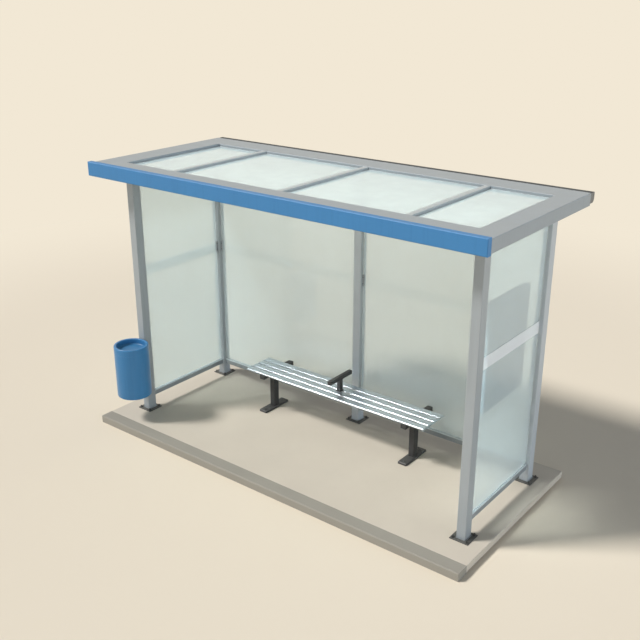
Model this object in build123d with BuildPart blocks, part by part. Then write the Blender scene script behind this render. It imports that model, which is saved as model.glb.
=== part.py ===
"""Bus shelter with a glazed flat roof, three glass walls, a slatted bench and a litter bin.

The shelter stands on a concrete slab with a separate kerb along its open front. Five hollow steel
posts on base plates carry a frame of box members, which holds four panes of roof glass. A blue
fascia board runs along the front of the roof and an open gutter along its rear.

Millimetres. X runs along the shelter, +Y to the rear wall, +Z up. The origin is on the ground,
in the middle of the rectangle of posts.
"""
import os

from build123d import *

os.makedirs("parts", exist_ok=True)

# ---- Posts and their layout ----------------------------------------------------------------
POST_SPAN = 3600.0  # over the outer faces of the end posts
POST_DEPTH = 1150.0  # over the outer faces of the front and rear posts
POST_X = 80.0
POST_Y = 90.0
POST_WALL = 4.0
POST_RADIUS = 6.0
CLEAR_HEIGHT = 2327.0  # from the slab's top to the underside of the roof frame

# ---- Slab, kerb and base plates ------------------------------------------------------------
SLAB_THICK = 70.0
SLAB_LEFT = 190.0  # what the slab reaches past the posts on each side
SLAB_RIGHT = 155.0
SLAB_FRONT = 250.0
SLAB_REAR = 260.0
SLAB_EDGE = 4.0  # worn edge along the slab's top
FOOT_UNDERCUT = 12.0  # step under the slab's outer edges
KERB_WIDTH = 120.0
KERB_EDGE = 7.0
BASE_PLATE = 160.0
BASE_PLATE_THICK = 8.0

# ---- Roof frame ----------------------------------------------------------------------------
ROOF_THICK = 100.0
ROOF_LEFT = 260.0  # what the frame reaches past the posts on each side
ROOF_RIGHT = 117.0
ROOF_FRONT = 155.0
ROOF_REAR = 300.0
LEFT_MEMBER = 258.0  # widths of the four box members
RIGHT_MEMBER = 186.0
FRONT_MEMBER = 190.0
REAR_MEMBER = 246.0
MEMBER_WALL = 4.0
MEMBER_EDGE = 5.0  # along the side members' outer and the cross members' inner top edges
LEDGE = 30.0  # the shelf that carries the roof glass
REAR_LEDGE = 60.0
GLASS_RECESS = 25.0  # from the top of the frame down to the glass
ROOF_GLASS = 10.0
PANE_GAP = 4.0
PANE_BED = 0.3  # glazing tape between the ledges and the panes

# ---- Glazing bars --------------------------------------------------------------------------
BAR_SPACING = 1185.0
BAR_ASIDE = 25.0  # the middle bar stands this far to the left of the middle post
BAR_WIDTH = 50.0
BAR_FLANGE = 20.0  # what the flange under the glass reaches out on each side
BAR_FLANGE_THICK = 6.0
BAR_WALL = 3.0
BAR_DROP = 4.0  # the bars stay this far below the frame's top
BAR_END_GAP = 0.5

# ---- Fascia board and gutter ---------------------------------------------------------------
FASCIA_THICK = 50.0
FASCIA_ABOVE = 12.0
FASCIA_BELOW = 13.0
FASCIA_WALL = 4.0
FASCIA_LIP = 17.0  # what the rear lips overlap the roof frame
FASCIA_EDGE = 5.0
GUTTER_DROP = 4.0  # the gutter's rim stays this far below the frame's top
GUTTER_WIDTH = 72.0
GUTTER_DEPTH = 82.0
GUTTER_WALL = 3.0
GUTTER_ROUND = 33.0  # rounding between the floor and the outer wall

# ---- Wall rails and glass ------------------------------------------------------------------
RAIL_WIDTH = 36.0
RAIL_HEIGHT = 42.0
RAIL_WALL = 3.0
RAIL_RADIUS = 4.0
RAIL_LIFT = 116.0  # from the slab's top to the underside of the bottom rails
WALL_GLASS = 10.0
GLASS_SIDE_GAP = 1.0
GLASS_TOP_GAP = 1.0
BAND_LIFT = 1355.0  # from the slab's top to the frosted band on the glass
BAND_HEIGHT = 100.0
BAND_THICK = 3.0
CLAMP_LIFT = 1365.0
CLAMP_HEIGHT = 110.0
CLAMP_DEEP = 14.0
CLAMP_REACH = 16.0
CLAMP_RADIUS = 2.0

# ---- Information case on the right-hand glass ----------------------------------------------
CASE_WIDTH = 630.0
CASE_HEIGHT = 845.0
CASE_DEEP = 60.0
CASE_PAD = 0.3  # adhesive pads between the case and the glass
CASE_LIFT = 981.0
CASE_FROM_POST = 119.0  # from the front post to the case
CASE_RADIUS = 12.0
CASE_EDGE = 3.0
CASE_BORDER = 24.0
CASE_SEAT = 8.0  # lip that the sheet rests on
CASE_SEAT_THICK = 4.0
CASE_WALL = 3.0
CASE_BACK = 4.0
SHEET_THICK = 6.0
SHEET_RECESS = 5.0
SHEET_GAP = 0.5

# ---- Bench ---------------------------------------------------------------------------------
SEAT_LENGTH = 2010.0
SEAT_HEIGHT = 415.0  # from the slab's top to the slats' top
SEAT_TO_GLASS = 116.0  # from the seat's rear edge to the rear glass
SLAT_COUNT = 4
SLAT_WIDTH = 72.0
SLAT_GAP = 16.0
SLAT_THICK = 20.0
SLAT_WALL = 2.5
SLAT_RADIUS = 9.0
END_STRIP = 6.0
END_STRIP_EDGE = 1.5
LEG_SPACING = 1615.0
LEG_X = 54.0
LEG_Y = 74.0
LEG_WALL = 4.0
LEG_RADIUS = 8.0
LEG_OFFSET = 8.0  # the legs stand this far behind the middle of the seat
FOOT_X = 90.0
FOOT_Y = 335.0
FOOT_FORWARD = 11.0  # from the leg's middle forward to the foot's
FOOT_THICK = 20.0
FOOT_RADIUS = 8.0
FOOT_EDGE = 4.0
BEARER_X = 56.0
BEARER_THICK = 40.0
BEARER_FRONT = 6.0  # what the bearers show in front of the seat
BEARER_REAR = 104.0  # what they reach behind the seat
BEARER_EDGE = 7.0
ARM_HEIGHT = 150.0  # from the seat's top to the top of the armrest
ARM_LENGTH = 322.0
ARM_THICK = 40.0
ARM_EDGE = 8.0
ARM_POST = 40.0
ARM_POST_EDGE = 5.0
ARM_PLATE_X = 54.0
ARM_PLATE_Y = 58.0
ARM_PLATE_THICK = 4.0

# ---- Litter bin on the front left post's front face ----------------------------------------
BIN_RADIUS = 161.0
BIN_LIFT = 246.0  # from the slab's top to the bin's underside
BIN_HEIGHT = 508.0
BIN_WALL = 3.0
BIN_FLOOR_EDGE = 10.0
BIN_TO_POST = 8.0
BIN_ASIDE = 46.0  # from the post's centre line to the bin's, towards the shelter's middle
RIM_WIDTH = 26.0
RIM_HEIGHT = 62.0
RIM_EDGE = 9.0
RIM_LIP = 8.0  # inward lip that carries the lid
RIM_LIP_THICK = 5.0
LID_THICK = 4.0
LID_GAP = 0.5
BRACKET_WIDTH = 60.0
BRACKET_HEIGHT = 40.0
BRACKET_DEEP = 30.0
BRACKET_INSET = 90.0  # from the shell's top and bottom to the brackets
CURVE_GAP = 0.3

# ---- Places worked out from the sizes above ------------------------------------------------
LEFT = -POST_SPAN / 2
RIGHT = POST_SPAN / 2
FRONT = -POST_DEPTH / 2
REAR = POST_DEPTH / 2
LEFT_X = LEFT + POST_X / 2  # centre lines of the posts, rails and glass
RIGHT_X = RIGHT - POST_X / 2
MIDDLE_X = 0.0
FRONT_Y = FRONT + POST_Y / 2
REAR_Y = REAR - POST_Y / 2

SLAB_TOP = SLAB_THICK
POST_FOOT = SLAB_TOP + BASE_PLATE_THICK
ROOF_BOTTOM = SLAB_TOP + CLEAR_HEIGHT
ROOF_TOP = ROOF_BOTTOM + ROOF_THICK
LEDGE_TOP = ROOF_TOP - GLASS_RECESS - ROOF_GLASS - PANE_BED

ROOF_X0 = LEFT - ROOF_LEFT
ROOF_X1 = RIGHT + ROOF_RIGHT
ROOF_Y0 = FRONT - ROOF_FRONT
ROOF_Y1 = REAR + ROOF_REAR
OPEN_X0 = ROOF_X0 + LEFT_MEMBER  # the glazed opening, between the members
OPEN_X1 = ROOF_X1 - RIGHT_MEMBER
OPEN_Y0 = ROOF_Y0 + FRONT_MEMBER
OPEN_Y1 = ROOF_Y1 - REAR_MEMBER

RAIL_BOTTOM = SLAB_TOP + RAIL_LIFT
RAIL_TOP = RAIL_BOTTOM + RAIL_HEIGHT
HEAD_BOTTOM = ROOF_BOTTOM - RAIL_HEIGHT

POSTS = {
    "front_left": (LEFT_X, FRONT_Y),
    "front_right": (RIGHT_X, FRONT_Y),
    "rear_left": (LEFT_X, REAR_Y),
    "rear_middle": (MIDDLE_X, REAR_Y),
    "rear_right": (RIGHT_X, REAR_Y),
}

# Clear runs between neighbouring posts: the side walls along Y, the rear bays along X.
SIDE_RUN = (FRONT + POST_Y, REAR - POST_Y)
REAR_LEFT_RUN = (LEFT + POST_X, MIDDLE_X - POST_X / 2)
REAR_RIGHT_RUN = (MIDDLE_X + POST_X / 2, RIGHT - POST_X)


def save(part, name):
    """Label a finished piece and write it as its own STEP file."""
    part.label = name
    export_step(part, f"parts/{name}.step")


def block(x0, x1, y0, y1, z0, z1, mode=Mode.ADD):
    """Add a box between two corners to the part being built."""
    centre = ((x0 + x1) / 2, (y0 + y1) / 2, (z0 + z1) / 2)
    with Locations(centre):
        return Box(x1 - x0, y1 - y0, z1 - z0, mode=mode)


def tube_profile(width, height, wall, radius):
    """Draw a rounded rectangular tube's section in the sketch being built."""
    RectangleRounded(width, height, radius)
    inner_radius = max(radius - wall, 0.5)
    RectangleRounded(width - 2 * wall, height - 2 * wall, inner_radius, mode=Mode.SUBTRACT)


def along_x(x, y, z):
    """Plane across X at x, with its own axes along +Y and +Z and its normal along +X."""
    return Plane(origin=(x, y, z), x_dir=(0, 1, 0), z_dir=(1, 0, 0))


def along_y(x, y, z):
    """Plane across Y at y, with its own axes along +X and -Z and its normal along +Y."""
    return Plane(origin=(x, y, z), x_dir=(1, 0, 0), z_dir=(0, 1, 0))


# ============================ Slab and kerb =================================================
SLAB_X0 = LEFT - SLAB_LEFT
SLAB_X1 = RIGHT + SLAB_RIGHT
SLAB_Y0 = FRONT - SLAB_FRONT
SLAB_Y1 = REAR + SLAB_REAR

with BuildPart() as base_slab:
    block(SLAB_X0, SLAB_X1, SLAB_Y0, SLAB_Y1, FOOT_UNDERCUT, SLAB_TOP)
    chamfer(base_slab.faces().sort_by(Axis.Z)[-1].edges(), SLAB_EDGE)
    block(
        SLAB_X0 + FOOT_UNDERCUT,
        SLAB_X1 - FOOT_UNDERCUT,
        SLAB_Y0,
        SLAB_Y1 - FOOT_UNDERCUT,
        0,
        FOOT_UNDERCUT,
    )
save(base_slab.part, "base_slab")

with BuildPart() as kerb:
    block(SLAB_X0, SLAB_X1, SLAB_Y0 - KERB_WIDTH, SLAB_Y0, 0, SLAB_TOP)
    kerb_top = kerb.faces().sort_by(Axis.Z)[-1].edges()
    chamfer(kerb_top.sort_by(Axis.Y)[0], KERB_EDGE)
save(kerb.part, "kerb")

# ============================ Posts and base plates =========================================
for place, (post_x, post_y) in POSTS.items():
    with BuildPart() as post:
        with BuildSketch(Plane.XY.offset(POST_FOOT)) as post_outline:
            with Locations((post_x, post_y)):
                RectangleRounded(POST_X, POST_Y, POST_RADIUS)
        extrude(amount=ROOF_BOTTOM - POST_FOOT)
        with BuildSketch(Plane.XY.offset(POST_FOOT)) as post_bore:
            with Locations((post_x, post_y)):
                RectangleRounded(POST_X - 2 * POST_WALL, POST_Y - 2 * POST_WALL, POST_RADIUS - POST_WALL)
        extrude(amount=ROOF_BOTTOM - POST_FOOT - POST_WALL, mode=Mode.SUBTRACT)
    save(post.part, f"post_{place}")

with BuildPart() as base_plates:
    with BuildSketch(Plane.XY.offset(SLAB_TOP)) as plate_outlines:
        with Locations(*POSTS.values()):
            Rectangle(BASE_PLATE, BASE_PLATE)
    extrude(amount=BASE_PLATE_THICK)
    chamfer(base_plates.faces().group_by(Axis.Z)[-1].edges(), 1.5)
save(base_plates.part, "base_plates")

# ============================ Roof frame ====================================================
# The side members run from front to rear, closed behind and open where the fascia covers them.
LEDGE_Y0 = OPEN_Y0 + LEDGE
LEDGE_Y1 = OPEN_Y1 - REAR_LEDGE


def hollow_cell(x0, x1, y0, y1, z0, z1, wall_x, wall_y, wall_z):
    """Cut a member's hollow, leaving the given wall on each axis."""
    block(
        x0 + wall_x, x1 - wall_x, y0 + wall_y[0], y1 - wall_y[1], z0 + wall_z, z1 - wall_z, Mode.SUBTRACT
    )


def side_member(x0, x1, ledge_x0, ledge_x1, outer):
    """A side of the roof frame: a box with the ledge's smaller box on its inner face."""
    with BuildPart() as member:
        block(x0, x1, ROOF_Y0, ROOF_Y1, ROOF_BOTTOM, ROOF_TOP)
        chamfer(member.edges().filter_by(Axis.Y).group_by(Axis.Z)[-1].sort_by(Axis.X)[outer], MEMBER_EDGE)
        block(ledge_x0, ledge_x1, LEDGE_Y0, LEDGE_Y1, ROOF_BOTTOM, LEDGE_TOP)
        hollow_cell(
            x0, x1, ROOF_Y0, ROOF_Y1, ROOF_BOTTOM, ROOF_TOP, MEMBER_WALL, (0, MEMBER_WALL), MEMBER_WALL
        )
        hollow_cell(
            ledge_x0, ledge_x1, LEDGE_Y0, LEDGE_Y1, ROOF_BOTTOM, LEDGE_TOP, MEMBER_WALL, (0, 0), MEMBER_WALL
        )
    return member.part


save(side_member(ROOF_X0, OPEN_X0, OPEN_X0, OPEN_X0 + LEDGE, 0), "roof_left_member")
save(side_member(OPEN_X1, ROOF_X1, OPEN_X1 - LEDGE, OPEN_X1, -1), "roof_right_member")


def cross_member(y0, y1, ledge_y0, ledge_y1, inner):
    """The front or rear of the roof frame, fitted between the side members, open at both ends."""
    with BuildPart() as member:
        block(OPEN_X0, OPEN_X1, y0, y1, ROOF_BOTTOM, ROOF_TOP)
        chamfer(member.edges().filter_by(Axis.X).group_by(Axis.Z)[-1].sort_by(Axis.Y)[inner], MEMBER_EDGE)
        block(OPEN_X0, OPEN_X1, ledge_y0, ledge_y1, ROOF_BOTTOM, LEDGE_TOP)
        for cell_y0, cell_y1, cell_top in ((y0, y1, ROOF_TOP), (ledge_y0, ledge_y1, LEDGE_TOP)):
            block(
                OPEN_X0,
                OPEN_X1,
                cell_y0 + MEMBER_WALL,
                cell_y1 - MEMBER_WALL,
                ROOF_BOTTOM + MEMBER_WALL,
                cell_top - MEMBER_WALL,
                Mode.SUBTRACT,
            )
    return member.part


save(cross_member(ROOF_Y0, OPEN_Y0, OPEN_Y0, LEDGE_Y0, -1), "roof_front_member")
save(cross_member(OPEN_Y1, ROOF_Y1, LEDGE_Y1, OPEN_Y1, 0), "roof_rear_member")

# ============================ Glazing bars and roof panes ===================================
BAR_CENTRES = [MIDDLE_X - BAR_ASIDE + side * BAR_SPACING for side in (-1, 0, 1)]
BAR_TOP = ROOF_TOP - BAR_DROP

with BuildPart() as glazing_bars:
    with BuildSketch(along_y(MIDDLE_X, OPEN_Y0 + BAR_END_GAP, (LEDGE_TOP + BAR_TOP) / 2)) as bar_webs:
        with Locations(*[(bar_x, 0) for bar_x in BAR_CENTRES]):
            tube_profile(BAR_WIDTH, BAR_TOP - LEDGE_TOP, BAR_WALL, 2.0)
    extrude(amount=OPEN_Y1 - OPEN_Y0 - 2 * BAR_END_GAP)
    for bar_x in BAR_CENTRES:
        block(
            bar_x - BAR_WIDTH / 2 - BAR_FLANGE,
            bar_x + BAR_WIDTH / 2 + BAR_FLANGE,
            LEDGE_Y0 + BAR_END_GAP,
            LEDGE_Y1 - BAR_END_GAP,
            LEDGE_TOP - BAR_FLANGE_THICK,
            LEDGE_TOP,
        )
save(glazing_bars.part, "glazing_bars")

bar_sides = [(bar_x - BAR_WIDTH / 2, bar_x + BAR_WIDTH / 2) for bar_x in BAR_CENTRES]
pane_starts = [OPEN_X0] + [right for left, right in bar_sides]
pane_ends = [left for left, right in bar_sides] + [OPEN_X1]
PANE_NAMES = ["left_end", "left_middle", "right_middle", "right_end"]

for name, start, end in zip(PANE_NAMES, pane_starts, pane_ends):
    with BuildPart() as pane:
        block(
            start + PANE_GAP,
            end - PANE_GAP,
            OPEN_Y0 + PANE_GAP,
            OPEN_Y1 - PANE_GAP,
            LEDGE_TOP + PANE_BED,
            LEDGE_TOP + PANE_BED + ROOF_GLASS,
        )
    save(pane.part, f"roof_pane_{name}")

# ============================ Fascia board ==================================================
# A lipped channel: closed in front and at its ends, its rear lips lie on the roof frame.
FASCIA_Y0 = ROOF_Y0 - FASCIA_THICK
FASCIA_Z0 = ROOF_BOTTOM - FASCIA_BELOW
FASCIA_Z1 = ROOF_TOP + FASCIA_ABOVE

with BuildPart() as fascia_board:
    block(ROOF_X0, ROOF_X1, FASCIA_Y0, ROOF_Y0, FASCIA_Z0, FASCIA_Z1)
    chamfer(fascia_board.faces().sort_by(Axis.Y)[0].edges(), FASCIA_EDGE)
    block(
        ROOF_X0 + FASCIA_WALL,
        ROOF_X1 - FASCIA_WALL,
        FASCIA_Y0 + FASCIA_WALL,
        ROOF_Y0 - FASCIA_WALL,
        FASCIA_Z0 + FASCIA_WALL,
        FASCIA_Z1 - FASCIA_WALL,
        Mode.SUBTRACT,
    )
    block(
        ROOF_X0 + FASCIA_WALL,
        ROOF_X1 - FASCIA_WALL,
        ROOF_Y0 - FASCIA_WALL,
        ROOF_Y0,
        ROOF_BOTTOM + FASCIA_LIP,
        ROOF_TOP - FASCIA_LIP,
        Mode.SUBTRACT,
    )
save(fascia_board.part, "fascia_board")

# ============================ Gutter ========================================================
# Flat against the roof, with a level floor that rounds up into an upright outer wall, open on top.


def gutter_section(x, inset):
    """The gutter's section at x, drawn in by the inset and always open at the top."""
    back, floor = inset, -GUTTER_DEPTH + inset
    toe = (GUTTER_WIDTH - GUTTER_ROUND, floor)
    shoulder = (GUTTER_WIDTH - inset, -GUTTER_DEPTH + GUTTER_ROUND)
    with BuildSketch(along_x(x, ROOF_Y1, ROOF_TOP - GUTTER_DROP)) as section:
        with BuildLine():
            Polyline((shoulder[0], 0), (back, 0), (back, floor), toe)
            TangentArc(shoulder, toe, tangent=(0, -1))
            Line(shoulder, (shoulder[0], 0))
        make_face()
    return section.sketch


with BuildPart() as gutter:
    extrude(gutter_section(ROOF_X0, 0), amount=ROOF_X1 - ROOF_X0)
    extrude(
        gutter_section(ROOF_X0 + GUTTER_WALL, GUTTER_WALL),
        amount=ROOF_X1 - ROOF_X0 - 2 * GUTTER_WALL,
        mode=Mode.SUBTRACT,
    )
save(gutter.part, "gutter")

# ============================ Rails and glass of the walls ==================================


def rail_along_y(x, z, name):
    with BuildPart() as rail:
        with BuildSketch(along_y(x, SIDE_RUN[0], z + RAIL_HEIGHT / 2)):
            tube_profile(RAIL_WIDTH, RAIL_HEIGHT, RAIL_WALL, RAIL_RADIUS)
        extrude(amount=SIDE_RUN[1] - SIDE_RUN[0])
    save(rail.part, name)


def rail_along_x(run, z, name):
    with BuildPart() as rail:
        with BuildSketch(along_x(run[0], REAR_Y, z + RAIL_HEIGHT / 2)):
            tube_profile(RAIL_WIDTH, RAIL_HEIGHT, RAIL_WALL, RAIL_RADIUS)
        extrude(amount=run[1] - run[0])
    save(rail.part, name)


rail_along_y(LEFT_X, RAIL_BOTTOM, "bottom_rail_left")
rail_along_y(RIGHT_X, RAIL_BOTTOM, "bottom_rail_right")
rail_along_x(REAR_LEFT_RUN, RAIL_BOTTOM, "bottom_rail_rear_left")
rail_along_x(REAR_RIGHT_RUN, RAIL_BOTTOM, "bottom_rail_rear_right")

with BuildPart() as head_rails:
    with BuildSketch(along_y(0, SIDE_RUN[0], HEAD_BOTTOM + RAIL_HEIGHT / 2)):
        with Locations((LEFT_X, 0), (RIGHT_X, 0)):
            tube_profile(RAIL_WIDTH, RAIL_HEIGHT, RAIL_WALL, RAIL_RADIUS)
    extrude(amount=SIDE_RUN[1] - SIDE_RUN[0])
    for run in (REAR_LEFT_RUN, REAR_RIGHT_RUN):
        with BuildSketch(along_x(run[0], REAR_Y, HEAD_BOTTOM + RAIL_HEIGHT / 2)):
            tube_profile(RAIL_WIDTH, RAIL_HEIGHT, RAIL_WALL, RAIL_RADIUS)
        extrude(amount=run[1] - run[0])
save(head_rails.part, "head_rails")

GLASS_TOP = HEAD_BOTTOM - GLASS_TOP_GAP


def wall_sheet(run, inner, outer, z0, z1, wall):
    """Add a sheet that fills a run between posts: on the left, right or rear wall."""
    start = run[0] + GLASS_SIDE_GAP
    end = run[1] - GLASS_SIDE_GAP
    if wall == "left":
        block(LEFT_X - outer, LEFT_X - inner, start, end, z0, z1)
    elif wall == "right":
        block(RIGHT_X + inner, RIGHT_X + outer, start, end, z0, z1)
    else:
        block(start, end, REAR_Y + inner, REAR_Y + outer, z0, z1)


WALLS = {
    "left": (SIDE_RUN, "left"),
    "right": (SIDE_RUN, "right"),
    "rear_left": (REAR_LEFT_RUN, "rear"),
    "rear_right": (REAR_RIGHT_RUN, "rear"),
}

for bay, (run, wall) in WALLS.items():
    with BuildPart() as glass:
        wall_sheet(run, -WALL_GLASS / 2, WALL_GLASS / 2, RAIL_TOP, GLASS_TOP, wall)
    save(glass.part, f"wall_glass_{bay}")

# Frosted strip at eye level on the outer face of every pane.
with BuildPart() as safety_bands:
    for run, wall in WALLS.values():
        band_z = SLAB_TOP + BAND_LIFT
        wall_sheet(
            run, WALL_GLASS / 2, WALL_GLASS / 2 + BAND_THICK, band_z, band_z + BAND_HEIGHT, wall
        )
save(safety_bands.part, "safety_bands")

# Clamps in the corners between a post and the inner face of the glass.
with BuildPart() as glass_clamps:
    clamp_z = SLAB_TOP + CLAMP_LIFT
    clamp_in = WALL_GLASS / 2
    clamp_out = WALL_GLASS / 2 + CLAMP_DEEP
    for clamp_y in (SIDE_RUN[0], SIDE_RUN[1] - CLAMP_REACH):
        clamp_y1 = clamp_y + CLAMP_REACH
        block(LEFT_X + clamp_in, LEFT_X + clamp_out, clamp_y, clamp_y1, clamp_z, clamp_z + CLAMP_HEIGHT)
        block(RIGHT_X - clamp_out, RIGHT_X - clamp_in, clamp_y, clamp_y1, clamp_z, clamp_z + CLAMP_HEIGHT)
    for run in (REAR_LEFT_RUN, REAR_RIGHT_RUN):
        for clamp_x in (run[0], run[1] - CLAMP_REACH):
            clamp_x1 = clamp_x + CLAMP_REACH
            block(
                clamp_x, clamp_x1, REAR_Y - clamp_out, REAR_Y - clamp_in, clamp_z, clamp_z + CLAMP_HEIGHT
            )
    fillet(glass_clamps.edges().filter_by(Axis.Z), CLAMP_RADIUS)
save(glass_clamps.part, "glass_clamps")

# ============================ Information case ==============================================
CASE_X1 = RIGHT_X - WALL_GLASS / 2 - CASE_PAD  # the case's back
CASE_X0 = CASE_X1 - CASE_DEEP
CASE_Y = SIDE_RUN[0] + CASE_FROM_POST + CASE_WIDTH / 2
CASE_Z = SLAB_TOP + CASE_LIFT + CASE_HEIGHT / 2
RECESS_WIDTH = CASE_WIDTH - 2 * CASE_BORDER
RECESS_HEIGHT = CASE_HEIGHT - 2 * CASE_BORDER
RECESS_DEEP = SHEET_RECESS + SHEET_THICK
CASE_HOLLOW_FROM = RECESS_DEEP + CASE_SEAT_THICK

with BuildPart() as info_case:
    with BuildSketch(along_x(CASE_X0, CASE_Y, CASE_Z)) as case_outline:
        RectangleRounded(CASE_WIDTH, CASE_HEIGHT, CASE_RADIUS)
    extrude(amount=CASE_DEEP)
    chamfer(info_case.faces().sort_by(Axis.X)[0].edges(), CASE_EDGE)
    with BuildSketch(along_x(CASE_X0, CASE_Y, CASE_Z)) as case_recess:
        Rectangle(RECESS_WIDTH, RECESS_HEIGHT)
    extrude(amount=RECESS_DEEP, mode=Mode.SUBTRACT)
    with BuildSketch(along_x(CASE_X0, CASE_Y, CASE_Z)) as seat_opening:
        Rectangle(RECESS_WIDTH - 2 * CASE_SEAT, RECESS_HEIGHT - 2 * CASE_SEAT)
    extrude(amount=CASE_HOLLOW_FROM, mode=Mode.SUBTRACT)
    with BuildSketch(along_x(CASE_X0 + CASE_HOLLOW_FROM, CASE_Y, CASE_Z)) as case_hollow:
        RectangleRounded(CASE_WIDTH - 2 * CASE_WALL, CASE_HEIGHT - 2 * CASE_WALL, CASE_RADIUS - CASE_WALL)
    extrude(amount=CASE_DEEP - CASE_BACK - CASE_HOLLOW_FROM, mode=Mode.SUBTRACT)
save(info_case.part, "info_case")

with BuildPart() as info_sheet:
    with BuildSketch(along_x(CASE_X0 + SHEET_RECESS, CASE_Y, CASE_Z)) as sheet_outline:
        Rectangle(RECESS_WIDTH - 2 * SHEET_GAP, RECESS_HEIGHT - 2 * SHEET_GAP)
    extrude(amount=SHEET_THICK)
save(info_sheet.part, "info_sheet")

# ============================ Bench =========================================================
SEAT_TOP = SLAB_TOP + SEAT_HEIGHT
SEAT_BOTTOM = SEAT_TOP - SLAT_THICK
SEAT_DEPTH = SLAT_COUNT * SLAT_WIDTH + (SLAT_COUNT - 1) * SLAT_GAP
SEAT_Y1 = REAR_Y - WALL_GLASS / 2 - SEAT_TO_GLASS
SEAT_Y0 = SEAT_Y1 - SEAT_DEPTH
SEAT_Y = (SEAT_Y0 + SEAT_Y1) / 2
SLAT_X0 = MIDDLE_X - SEAT_LENGTH / 2 + END_STRIP
SLAT_X1 = MIDDLE_X + SEAT_LENGTH / 2 - END_STRIP
LEG_CENTRES = [(MIDDLE_X + side * LEG_SPACING / 2, SEAT_Y + LEG_OFFSET) for side in (-1, 1)]
FOOT_TOP = SLAB_TOP + FOOT_THICK
BEARER_BOTTOM = SEAT_BOTTOM - BEARER_THICK

for number in range(SLAT_COUNT):
    slat_y = SEAT_Y0 + SLAT_WIDTH / 2 + number * (SLAT_WIDTH + SLAT_GAP)
    with BuildPart() as slat:
        with BuildSketch(along_x(SLAT_X0, slat_y, SEAT_TOP - SLAT_THICK / 2)):
            tube_profile(SLAT_WIDTH, SLAT_THICK, SLAT_WALL, SLAT_RADIUS)
        extrude(amount=SLAT_X1 - SLAT_X0)
    save(slat.part, f"bench_slat_{number + 1}")

with BuildPart() as bench_end_strips:
    for strip_x in (SLAT_X0 - END_STRIP, SLAT_X1):
        block(strip_x, strip_x + END_STRIP, SEAT_Y0, SEAT_Y1, SEAT_BOTTOM, SEAT_TOP)
    chamfer(bench_end_strips.faces().group_by(Axis.Z)[-1].edges(), END_STRIP_EDGE)
save(bench_end_strips.part, "bench_end_strips")

with BuildPart() as bench_bearers:
    for leg_x, leg_y in LEG_CENTRES:
        block(
            leg_x - BEARER_X / 2,
            leg_x + BEARER_X / 2,
            SEAT_Y0 - BEARER_FRONT,
            SEAT_Y1 + BEARER_REAR,
            BEARER_BOTTOM,
            SEAT_BOTTOM,
        )
    fillet(bench_bearers.edges().filter_by(Axis.Z), BEARER_EDGE)
save(bench_bearers.part, "bench_bearers")

with BuildPart() as bench_legs:
    with BuildSketch(Plane.XY.offset(FOOT_TOP)) as leg_sections:
        with Locations(*LEG_CENTRES):
            tube_profile(LEG_X, LEG_Y, LEG_WALL, LEG_RADIUS)
    extrude(amount=BEARER_BOTTOM - FOOT_TOP)
save(bench_legs.part, "bench_legs")

with BuildPart() as bench_feet:
    with BuildSketch(Plane.XY.offset(SLAB_TOP)) as foot_outlines:
        with Locations(*[(leg_x, leg_y - FOOT_FORWARD) for leg_x, leg_y in LEG_CENTRES]):
            RectangleRounded(FOOT_X, FOOT_Y, FOOT_RADIUS)
    extrude(amount=FOOT_THICK)
    chamfer(bench_feet.faces().group_by(Axis.Z)[-1].edges(), FOOT_EDGE)
save(bench_feet.part, "bench_feet")

# Armrest in the middle: a plate on the two inner slats, a short post and a bar across the seat.
ARM_TOP = SEAT_TOP + ARM_HEIGHT
ARM_BAR_BOTTOM = ARM_TOP - ARM_THICK

with BuildPart() as armrest:
    block(
        MIDDLE_X - ARM_THICK / 2,
        MIDDLE_X + ARM_THICK / 2,
        SEAT_Y - ARM_LENGTH / 2,
        SEAT_Y + ARM_LENGTH / 2,
        ARM_BAR_BOTTOM,
        ARM_TOP,
    )
    fillet(armrest.edges().filter_by(Axis.Y), ARM_EDGE)
    with BuildSketch(Plane.XY.offset(SEAT_TOP)) as arm_plate:
        with Locations((MIDDLE_X, SEAT_Y)):
            RectangleRounded(ARM_PLATE_X, ARM_PLATE_Y, ARM_EDGE)
    extrude(amount=ARM_PLATE_THICK)
    with BuildSketch(Plane.XY.offset(SEAT_TOP)) as arm_post:
        with Locations((MIDDLE_X, SEAT_Y)):
            RectangleRounded(ARM_POST, ARM_POST, ARM_POST_EDGE)
    extrude(amount=ARM_BAR_BOTTOM + ARM_EDGE - SEAT_TOP)
save(armrest.part, "armrest")

# ============================ Litter bin ====================================================
BIN_X = LEFT_X + BIN_ASIDE
BIN_Y = FRONT - BIN_TO_POST - BIN_RADIUS
BIN_BOTTOM = SLAB_TOP + BIN_LIFT
BIN_TOP = BIN_BOTTOM + BIN_HEIGHT
RIM_BOTTOM = BIN_TOP - RIM_HEIGHT
RIM_BORE = BIN_RADIUS - RIM_WIDTH

with BuildPart() as bin_shell:
    with BuildSketch(Plane.XY.offset(BIN_BOTTOM)) as shell_outline:
        with Locations((BIN_X, BIN_Y)):
            Circle(BIN_RADIUS)
    extrude(amount=RIM_BOTTOM - BIN_BOTTOM)
    chamfer(bin_shell.edges().sort_by(Axis.Z)[0], BIN_FLOOR_EDGE)
    with BuildSketch(Plane.XY.offset(BIN_BOTTOM + BIN_FLOOR_EDGE)) as shell_bore:
        with Locations((BIN_X, BIN_Y)):
            Circle(BIN_RADIUS - BIN_WALL)
    extrude(amount=RIM_BOTTOM - BIN_BOTTOM - BIN_FLOOR_EDGE, mode=Mode.SUBTRACT)
save(bin_shell.part, "bin_shell")

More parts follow.
